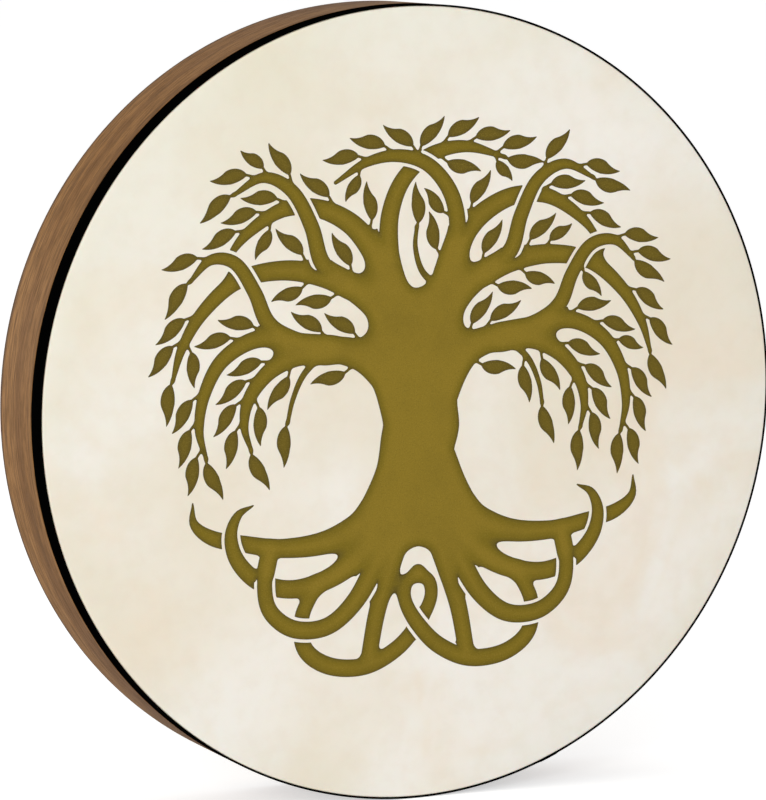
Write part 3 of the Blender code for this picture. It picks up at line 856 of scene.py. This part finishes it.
# Roots of the right side; the left side mirrors them
ROOTS = {
    "outer": [(20, -300, 80), (160, -425, 64), (320, -500, 47), (490, -515, 37), (640, -490, 32),
        (745, -465, 29), (810, -415, 18), (815, -345, 3)],
    "second": [(40, -360, 65), (185, -530, 50), (310, -620, 41), (450, -655, 36), (575, -625, 34),
        (655, -550, 31), (680, -465, 26), (655, -395, 17), (600, -365, 3)],
    "third": [(40, -380, 55), (155, -590, 43), (235, -715, 38), (335, -790, 35), (455, -790, 34),
        (540, -725, 32), (560, -630, 31), (540, -520, 31)],
    "inner": [(30, -400, 50), (100, -600, 40), (150, -750, 36), (180, -900, 34)],
    "loop": [(370, -645, 28), (425, -750, 31), (415, -860, 33), (325, -925, 34), (195, -935, 34),
        (80, -885, 33), (0, -805, 31), (-46, -725, 28), (-43, -665, 27), (0, -630, 27)],
}
BOUGH_SCALE = np.array([0.97, 0.98, 0.84])
ROOT_SCALE = np.array([1, 1, 0.88])


def draw_wood(field):
    """Trunk, boughs, roots and twigs. It returns the lines that bear leaves."""
    field.add(smooth(TRUNK))
    bearing = []
    for side, fillet, over, *points in BOUGHS:
        line = smooth(points) * BOUGH_SCALE * (side, 1, 1)
        if over is None:
            field.add(line, fillet)
        else:
            field.add(stretch(line, 0, over + 0.05), fillet)
            field.cross(line, over, lengths(line)[-1])
        bearing.append(line)
    for side in (1, -1):
        roots = {name: smooth(points) * ROOT_SCALE * (side, 1, 1) for name, points in ROOTS.items()}
        ends = {name: lengths(line)[-1] for name, line in roots.items()}
        field.add(roots["outer"], 0.10)
        field.add(stretch(roots["second"], 0, 0.42), 0.05)
        field.add(stretch(roots["second"], 0.30, ends["second"]))
        field.add(roots["inner"], 0.04)
        field.add(roots["loop"], 0.02)
        field.add(stretch(roots["third"], 0, 0.34), 0.03)
        field.cross(roots["third"], 0.32, ends["third"] - 0.085)
        field.add(stretch(roots["third"], ends["third"] - 0.07, ends["third"]), 0.02)
        field.cross(roots["second"], 0.77, ends["second"])
    field.cross(smooth(ROOTS["loop"]) * ROOT_SCALE, 0.57, 0.76)
    for side, *points in TWIGS:
        line = smooth(points) * (side, 1, 1)
        field.add(line, TWIG_FILLET)
        bearing.append(line)
    return bearing


def clear_of(field, line, gap):
    """Whether a leaf keeps its distance from the print, the rim and the two bare ovals below the boughs."""
    x, y, half = line.T
    (middle, level), (wide, high) = BARE_OVAL
    ovals = np.hypot((np.abs(x) - middle) / wide, (y - level) / high).min()
    return np.hypot(x, y).max() < LEAF_REACH and ovals > 1 and (field.at(line) - half).min() > gap


def grow_leaves(field, bearing):
    """Leaves at the ends of the wood first, then along it on both sides, the largest that fit."""
    for line in bearing:
        place, heading, _ = heading_at(line, lengths(line)[-1] - 0.003)
        for length, bend in END_LEAVES:
            made = leaf(place, heading - bend * 0.2, length, bend, 0.12)
            if clear_of(field, made[9:], 0.008):
                field.add_leaf(made)
                break
    for length in LEAF_LENGTHS:
        for line in bearing:
            bare = 0.04 if len(line) < 40 else 0.20
            for along in np.arange(bare, lengths(line)[-1] - 0.02, LEAF_STEP):
                place, heading, half = heading_at(line, along)
                for side in (1, -1):
                    foot = place + (half - 0.008) * ray(heading + side * math.pi / 2)
                    for lean in LEAF_LEANS:
                        made = leaf(foot, heading + side * lean, length, -side * 1.35, 0.22)
                        if clear_of(field, made[9:], 0.0095) and field.at(made[5:9]).min() > 0.003:
                            field.add_leaf(made)
                            break


def outlines(value, level):
    """Closed outlines of the places where the field is below a level, inside on their left."""
    inside = (value < level).astype(int)
    code = inside[:-1, :-1] + 2 * inside[:-1, 1:] + 4 * inside[1:, 1:] + 8 * inside[1:, :-1]
    after = {}
    for row, col in zip(*np.nonzero((code > 0) & (code < 15))):
        sides = ((row, col, 0), (row, col + 1, 1), (row + 1, col, 0), (row, col, 1))
        for start, end in SQUARES[code[row, col]]:
            after[sides[start]] = sides[end]
    loops = []
    while after:
        here = next(iter(after))
        loop = []
        while here in after:
            loop.append(here)
            here = after.pop(here)
        row, col, upright = np.array(loop).T
        a = value[row, col] - level
        b = value[row + upright, col + 1 - upright] - level
        share = a / (a - b)
        x, y = col + share * (1 - upright), row + share * upright
        loops.append(np.stack([x, y], axis=1) * PRINT_CELL - PRINT_REACH)
    return [loop for loop in loops if area_of(loop) > SMALLEST_ISLAND]


def area_of(loop):
    """The area inside a closed loop."""
    x, y = loop.T
    return abs(x @ np.roll(y, -1) - y @ np.roll(x, -1)) / 2


def thinned(loop, tolerance):
    """The loop with only the points that its shape needs."""
    count = len(loop)
    far = int(np.argmax(np.hypot(*(loop - loop[0]).T)))
    ring = np.vstack([loop, loop[:1]])
    keep = {0, far}
    todo = [(0, far), (far, count)]
    while todo:
        start, end = todo.pop()
        if end - start < 2:
            continue
        line = ring[end] - ring[start]
        rest = ring[start + 1 : end] - ring[start]
        off = np.abs(rest[:, 0] * line[1] - rest[:, 1] * line[0]) / max(np.hypot(*line), 1e-12)
        worst = int(np.argmax(off))
        if off[worst] > tolerance:
            middle = start + 1 + worst
            keep.add(middle)
            todo += [(start, middle), (middle, end)]
    return loop[sorted(k for k in keep if k < count)]


def print_mesh(field):
    """The ink as a thin closed layer, from its outline, a second line inside it and points between."""
    rim = -INK_EDGE / PRINT_RADIUS
    points, edges = [], []
    for level, tolerance in ((0.0, OUTLINE_TOLERANCE), (rim, RIM_TOLERANCE)):
        for loop in outlines(field.value, level):
            loop = thinned(loop, tolerance)
            first = len(points)
            edges += [(first + k, first + (k + 1) % len(loop)) for k in range(len(loop))]
            points += [tuple(point) for point in loop]
    for row, y in enumerate(np.arange(-PRINT_REACH, PRINT_REACH, INK_SPACING * math.sqrt(3) / 2)):
        for x in np.arange(-PRINT_REACH + INK_SPACING / 2 * (row % 2), PRINT_REACH, INK_SPACING):
            if field.at([(x, y)])[0] < INK_INSIDE * rim:
                points.append((x, y))
    corners, _, triangles, *_ = delaunay_2d_cdt([Vector(p) for p in points], edges, [], 0, 1e-7)
    corners = np.array([tuple(c) for c in corners])
    triangles = np.array(triangles)
    middles = corners[triangles].mean(axis=1)
    triangles = triangles[field.between(field.value, middles) < 0]
    used, triangles = np.unique(triangles, return_inverse=True)
    triangles = triangles.reshape(-1, 3)
    corners = corners[used]
    depth = np.maximum(-field.between(field.value, corners), 0.0)
    rise = INK_HEIGHT * np.clip(depth / -rim, INK_LIP, 1.0)
    sides = np.concatenate([triangles[:, [0, 1]], triangles[:, [1, 2]], triangles[:, [2, 0]]])
    known = {tuple(side) for side in sides.tolist()}
    border = [(a, b) for a, b in known if (b, a) not in known]
    count = len(corners)
    flat = corners * PRINT_RADIUS + (0, PRINT_RISE)
    top = np.column_stack([flat, FRONT + rise])
    base = np.column_stack([flat, np.full(count, FRONT - INK_SUNK)])
    faces = triangles.tolist() + (triangles[:, ::-1] + count).tolist()
    faces += [(b, a, a + count, b + count) for a, b in border]
    mesh = bpy.data.meshes.new("tree_print")
    mesh.from_pydata(np.vstack([top, base]).tolist(), [], faces)
    tone = 1 - np.exp(-depth * PRINT_RADIUS / INK_DEPTH)
    leafy = field.between(field.leafy, corners)
    for name, values in (("ink_tone", tone), ("ink_leaf", leafy)):
        layer = mesh.attributes.new(name, "FLOAT", "POINT")
        layer.data.foreach_set("value", np.tile(values, 2).astype(np.float32))
    return mesh


def make_print(material):
    """The tree of life printed on the skin."""
    field = PrintField()
    grow_leaves(field, draw_wood(field))
    piece("tree_print", print_mesh(field), material, "frame", "goatskin", sharp=60.0)


# ---- crossbars ----

CROSS_SEAT = BAR_LOW.z + GAP  # outer face of the countersunk head


def countersunk(clearance, past=0.0):
    """Profile of the screw through the middle of the cross; past runs it out of the bars' back."""
    head, shank = 4.2 * MM + clearance, 1.75 * MM + clearance
    length, cone, rim = 9.0 * MM + clearance, 2.4 * MM, 0.2 * MM
    points = [(0, length), (shank / 3, length), (shank, length - shank), (shank, cone)]
    points += [(head, rim), (head, -past), (0, -past)]
    return [(radius, CROSS_SEAT + level) for radius, level in points]


def make_bar(upright, material):
    """Slat with rounded long edges, shoulders that follow the wall, tenons and its half of the lap."""
    low, high = BAR_LOW.z, BAR_HIGH.z
    middle = (low + high) / 2
    half = (BAR_HIGH.x - BAR_LOW.x) / 2
    corners = [(-half, low), (half, low), (half, high), (-half, high)]
    reach = INNER_RADIUS + OVERSHOOT
    bar = extruded_mesh("bar", rounded(corners, 2.5 * MM), -reach, reach)
    bar.transform(quarter("X"))
    bar = carved(bar, rod_mesh("wall", 256, INNER_RADIUS - GAP, -0.1, 0.1), operation="INTERSECT")
    bar = carved(bar, tenon_mesh("tenons", True), operation="UNION")
    if upright:
        lap = (middle - GAP / 2, high + OVERSHOOT)
    else:
        bar.transform(quarter("Z"))
        lap = (low - OVERSHOOT, middle + GAP / 2)
    wide, long = (2 * half, half + GAP) if upright else (half + GAP, 2 * half)
    cut_out = block_mesh("lap", (-wide, -long, lap[0]), (wide, long, lap[1]))
    hole = turned_mesh("hole", countersunk(GAP, OVERSHOOT), SMALL_STEPS, closed=False)
    bar = carved(bar, cut_out, hole)
    way = "upright" if upright else "across"
    return piece(f"{way}_slat", bar, material, "frame", "stained_wood", f"crossbar_{way}")


def cross_recess(depth, width, length, face):
    """Cutter for a cross-point recess that tapers inwards, its mouth at z = face, cutting upwards."""
    blades = []
    for turn in (0, math.pi / 2):
        shape = bmesh.new()
        bmesh.ops.create_cube(shape, size=1.0)
        for corner in shape.verts:
            deep = corner.co.z > 0
            corner.co.x *= length * (0.35 if deep else 1.1)
            corner.co.y *= width * (0.7 if deep else 1.05)
            corner.co.z = face + depth if deep else face - depth / 4
        mesh = saved(shape, "blade")
        mesh.transform(Matrix.Rotation(turn, 4, "Z"))
        blades.append(mesh)
    return carved(blades[0], blades[1], operation="UNION")


def make_cross_screw(material):
    """Countersunk screw that holds the two bars together."""
    mesh = turned_mesh("cross_screw", countersunk(0.0), SMALL_STEPS, closed=False)
    mesh = carved(mesh, cross_recess(1.8 * MM, 1.0 * MM, 4.6 * MM, CROSS_SEAT))
    return piece("cross_screw", mesh, material, "frame", "bright_steel", "crossbar_screw")


# ---- tuning points ----

BRACKET_LOW, BRACKET_HIGH = (drum_box("bracket_1")[k].z for k in (0, 1))
BRACKET_MIDDLE = (BRACKET_LOW + BRACKET_HIGH) / 2
SCREW_BOX = drum_box("tuning_screw_1")
SCREW_MIDDLE = (SCREW_BOX[0] + SCREW_BOX[1]) / 2
SCREW_CIRCLE = math.hypot(SCREW_MIDDLE.x, SCREW_MIDDLE.y)
EAR_OUTER = INNER_RADIUS - 0.5 * MM
EAR_INNER = EAR_OUTER - 2.3 * MM
EAR_SPAN = 44.0 * MM
BOSS_RADIUS = 6.5 * MM
FIXING_OFFSET = 15.5 * MM  # of each wood screw from the bracket's middle
FIXING_RADIUS = 1.75 * MM
FIXING_HOLE = FIXING_RADIUS + 0.35 * MM
FIXING_LENGTH = 9.0 * MM
SADDLE_WIDTH = 14.0 * MM
SCREW_LENGTH = 30.0 * MM  # under its head
SOCKET_WIDTH = 5.0 * MM  # across its flats
THREAD_DEPTH = 0.55 * MM


def fixing_turn():
    """Angle from a bracket's middle to either of its wood screws."""
    return math.asin(FIXING_OFFSET / EAR_INNER)


def fixing_turns():
    """The turn of every wood screw round the drum's axis."""
    return [turn + side * fixing_turn() for _, turn in tuning_turns() for side in (-1, 1)]


def pilot(turn):
    """Cutter for a wood screw's hole in the wall."""
    deep = EAR_INNER + FIXING_LENGTH + GAP - INNER_RADIUS
    mesh = rod_mesh("pilot", 20, FIXING_HOLE, -1 * MM, deep)
    mesh.transform(outwards(turn, INNER_RADIUS, BRACKET_MIDDLE) @ quarter("Y"))
    return mesh


def bracket_outline():
    """Plan of the extrusion: two curved ears on the wall, and a round boss that runs into them in fillets."""
    ear = math.asin(EAR_SPAN / 2 / EAR_OUTER)
    fillet = 2.2 * MM
    reach = BOSS_RADIUS + fillet
    wall = EAR_INNER - fillet
    along = (SCREW_CIRCLE**2 + wall**2 - reach**2) / (2 * SCREW_CIRCLE)
    centre = (along, math.sqrt(wall**2 - along**2))
    to_boss = math.atan2(centre[1], centre[0] - SCREW_CIRCLE)
    to_wall = math.atan2(centre[1], centre[0])
    end = (EAR_OUTER - EAR_INNER) / 2
    last = ear - end / EAR_OUTER
    points = arc(EAR_OUTER, 0, last, 16)[:-1]
    points += arc(end, last, last + math.pi, 8, tuple((EAR_OUTER - end) * ray(last)))
    points += arc(EAR_INNER, last, to_wall, 12)[1:-1]
    points += arc(fillet, to_wall, to_boss - math.pi, 8, centre)[:-1]
    points += arc(BOSS_RADIUS, to_boss, math.pi, 16, (SCREW_CIRCLE, 0.0))
    half = [(x - SCREW_CIRCLE, y) for x, y in points]
    other = [(x, -y) for x, y in half[-2:0:-1]]
    return half + other


def bracket_mesh():
    """One bracket, its threaded hole on the z axis."""
    half = (BRACKET_HIGH - BRACKET_LOW) / 2
    blank = extruded_mesh("bracket", bracket_outline(), -half, half, 0.45 * MM)
    bore = SCREW_RADIUS + GAP
    tools = [rod_mesh("hole", 40, bore, -2 * half, 2 * half)]
    for side in (-1, 1):
        mouth = rod_mesh("chamfer", 40, bore, -1 * MM, 1 * MM, bore + 1.6 * MM)
        turn = Matrix.Rotation(0 if side > 0 else math.pi, 4, "X")
        mouth.transform(Matrix.Translation((0, 0, side * (half + 0.2 * MM))) @ turn)
        tools.append(mouth)
        hole = rod_mesh("ear_hole", 24, FIXING_HOLE, -OVERSHOOT, OVERSHOOT)
        to_ear = outwards(side * fixing_turn(), EAR_INNER) @ quarter("Y")
        hole.transform(Matrix.Translation((-SCREW_CIRCLE, 0, 0)) @ to_ear)
        tools.append(hole)
    return carved(blank, *tools)


def tuning_screw_mesh():
    """M6 socket-head screw along z, its tip at the top; the thread runs the whole length of the shank."""
    top, low = SCREW_BOX[1].z, SCREW_BOX[0].z
    under_head = top - SCREW_LENGTH
    head, chamfer = 5.0 * MM, 0.5 * MM
    root = SCREW_RADIUS - THREAD_DEPTH
    thread_low, thread_high = under_head + 1.0 * MM, top - 0.9 * MM
    rows = int((thread_high - thread_low) / SCREW_PITCH * ROWS_IN_A_PITCH)
    profile = [(0, top), (root - 0.25 * MM, top)]
    profile += [(SCREW_RADIUS, z) for z in np.linspace(thread_high, thread_low, rows + 1)]
    profile += [(root, under_head + 0.5 * MM), (root + 0.3 * MM, under_head)]
    profile += arc(chamfer, math.pi / 2, 0, 4, (head - chamfer, under_head - chamfer))
    profile += arc(chamfer, 0, -math.pi / 2, 4, (head - chamfer, low + chamfer))
    profile += [(0, low)]

    def thread(radius, z, turn):
        if not thread_low - 1e-9 <= z <= thread_high + 1e-9:
            return radius
        phase = (z / SCREW_PITCH - turn / math.tau) % 1.0
        height = min(1.0, max(0.0, abs(phase - 0.5) * 2.6 - 0.15))  # a V with a flat crest and root
        run_in = min(1.0, (z - thread_low) / SCREW_PITCH, (thread_high - z) / SCREW_PITCH)
        return root + (SCREW_RADIUS - root) * height * max(run_in, 0.0)

    mesh = turned_mesh("tuning_screw", profile, SCREW_STEPS, closed=False, radius_at=thread)
    corner = SOCKET_WIDTH / 2 / math.cos(math.pi / 6)
    socket = rod_mesh("socket", 6, corner, low - 1 * MM, low + 3.0 * MM)
    mouth = rod_mesh("mouth", 32, corner + 0.6 * MM, low - 0.3 * MM, low + 0.35 * MM, corner - 0.15 * MM)
    return carved(mesh, socket, mouth)


def wood_screw_mesh():
    """Pan-head wood screw along z, the underside of its head at z = 0 and its point at the top."""
    shank, tip, cone = FIXING_RADIUS, 0.3 * MM, 2.6 * MM
    head, height, edge, rim = 3.5 * MM, 2.3 * MM, 0.15 * MM, 0.5 * MM
    profile = [(0, FIXING_LENGTH), (tip, FIXING_LENGTH - tip), (shank, FIXING_LENGTH - cone)]
    profile += [(shank, 0), (head - edge, 0), (head, -edge)]
    dome = arc(1.0, 0, math.pi / 2, 9)
    profile += [(head * (0.45 + 0.55 * x), -rim - (height - rim) * y) for x, y in dome]
    profile += [(0, -height)]
    mesh = turned_mesh("wood_screw", profile, SMALL_STEPS, closed=False)
    return carved(mesh, cross_recess(1.5 * MM, 0.85 * MM, 3.6 * MM, -height))


def saddle_mesh():
    """Steel channel bent round the ring's back edge, its three walls of one thickness."""
    low, high = (drum_box("ring_saddle_1")[k].z for k in (0, 1))
    plate = 1.2 * MM
    outer = RING_HIGH.x + 0.4 * MM - SCREW_CIRCLE
    inner = RING_HIGH.x - RING_THICKNESS - 0.6 * MM - SCREW_CIRCLE
    web = low + 2.0 * MM
    corners = [(inner - plate, low), (outer + plate, low), (outer + plate, high), (outer, high)]
    corners += [(outer, web), (inner, web), (inner, high), (inner - plate, high)]
    bend, edge = 1.6 * MM, 0.3 * MM
    radii = [bend, bend, edge, edge, 0.4 * MM, 0.4 * MM, edge, edge]
    half = SADDLE_WIDTH / 2
    mesh = extruded_mesh("saddle", rounded(corners, radii), -half, half, 0.25 * MM, 2)
    mesh.transform(quarter("X"))
    return mesh


def make_tuning_points(alloy, steel, dark_steel):
    """At each point: a bracket on the wall with two wood screws, a tuning screw and a saddle."""
    bracket, screw, wood_screw, saddle = bracket_mesh(), tuning_screw_mesh(), wood_screw_mesh(), saddle_mesh()
    for number, turn in tuning_turns():
        at = outwards(turn, SCREW_CIRCLE)
        casting = moved(bracket, outwards(turn, SCREW_CIRCLE, BRACKET_MIDDLE))
        piece(f"tuner_bracket_{number}", casting, alloy, "frame", "cast_alloy", f"bracket_{number}")
        node = f"tuning_screw_{number}"
        piece(f"key_screw_{number}", moved(screw, at), steel, node, "bright_steel", node)
        channel = moved(saddle, at)
        piece(f"saddle_{number}", channel, steel, "tuning_ring", "bright_steel", f"ring_saddle_{number}")
        for side, letter in ((-1, "a"), (1, "b")):
            seat = outwards(turn + side * fixing_turn(), EAR_INNER - GAP, BRACKET_MIDDLE)
            fixing = moved(wood_screw, seat @ quarter("Y"))
            node = f"bracket_screw_{number}{letter}"
            piece(f"fixing_{number}{letter}", fixing, dark_steel, "frame", "bright_steel", node)


# ---- studio ----


def make_camera():
    """The camera at the photograph's viewing angle."""
    camera = bpy.data.cameras.new("camera")
    camera.lens = FOCAL_LENGTH
    camera.sensor_width = 36.0
    camera.clip_end = 100.0
    right = Vector((math.cos(VIEW_AZIMUTH), math.sin(VIEW_AZIMUTH), 0))
    level = Vector((math.sin(VIEW_AZIMUTH), -math.cos(VIEW_AZIMUTH), 0))
    back = level * math.cos(VIEW_ELEVATION) + Vector((0, 0, math.sin(VIEW_ELEVATION)))
    up = back.cross(right)
    made = linked("camera", camera)
    place = DRUM @ Vector((0, 0, FRONT)) + back * CAMERA_DISTANCE + right * CAMERA_RIGHT + up * CAMERA_UP
    made.matrix_world = Matrix.Translation(place) @ Matrix((right, up, back)).transposed().to_4x4()
    bpy.context.scene.camera = made


def make_floor():
    """Wide pale floor, lit from within a little so that it ends in white."""
    shape = bmesh.new()
    bmesh.ops.create_grid(shape, x_segments=2, y_segments=2, size=60.0)
    floor = linked("floor", saved(shape, "floor"))
    floor.location.z = CAD_LOW.z - 0.1 * MM
    paint = Paint("pale_floor")
    seen = paint.node("ShaderNodeLightPath", {}, "Is Camera Ray")
    glow = paint.times(seen, 0.53)
    paint.tree.links.new(glow, paint.shader.inputs["Emission Strength"])
    pale, white = (0.86, 0.86, 0.86, 1), (1, 1, 1, 1)
    paint.finish(Base_Color=pale, Roughness=0.9, Specular_IOR_Level=0.0, Emission_Color=white)
    floor.data.materials.append(paint.material)


def soft_box(name, place, size, power):
    """A round lamp that faces the drum."""
    light = bpy.data.lights.new(name, "AREA")
    light.shape = "DISK"
    light.size = size
    light.energy = power
    made = linked(name, light)
    made.location = place
    made.rotation_mode = "QUATERNION"
    made.rotation_quaternion = (CENTRE - Vector(place)).to_track_quat("-Z", "Y")


def make_light():
    """White surroundings, and two soft boxes on the left, before and behind the drum."""
    world = bpy.data.worlds.new("studio")
    bpy.context.scene.world = world
    world.use_nodes = True
    background = world.node_tree.nodes["Background"]
    background.inputs["Color"].default_value = (1, 1, 1, 1)
    seen = world.node_tree.nodes.new("ShaderNodeLightPath")
    strength = world.node_tree.nodes.new("ShaderNodeMapRange")
    strength.inputs["To Min"].default_value = 0.55  # what lights the drum
    strength.inputs["To Max"].default_value = 1.0  # what the camera sees
    world.node_tree.links.new(seen.outputs["Is Camera Ray"], strength.inputs["Value"])
    world.node_tree.links.new(strength.outputs[0], background.inputs["Strength"])
    soft_box("key", (-2.4, -3.2, 1.2), 2.4, 86.0)
    soft_box("rim", (-2.6, 2.2, 0.7), 1.2, 26.0)
    bpy.context.scene.view_settings.view_transform = "Standard"


make_camera()
make_floor()
make_light()

alloy = cast_alloy()
steel = plated_steel("plated_steel", (196, 197, 200), (222, 222, 222), 0.24)
dark_steel = plated_steel("screw_steel", (180, 180, 180), (212, 211, 208), 0.30)
make_skin(parchment())
make_print(printed_ink())
make_binding(black_binding())
make_shell(hoop_wood())
make_tuning_ring(ring_beech())
make_bar(True, bar_wood("upright_wood", True))
make_bar(False, bar_wood("across_wood", False))
make_cross_screw(dark_steel)
make_tuning_points(alloy, steel, dark_steel)
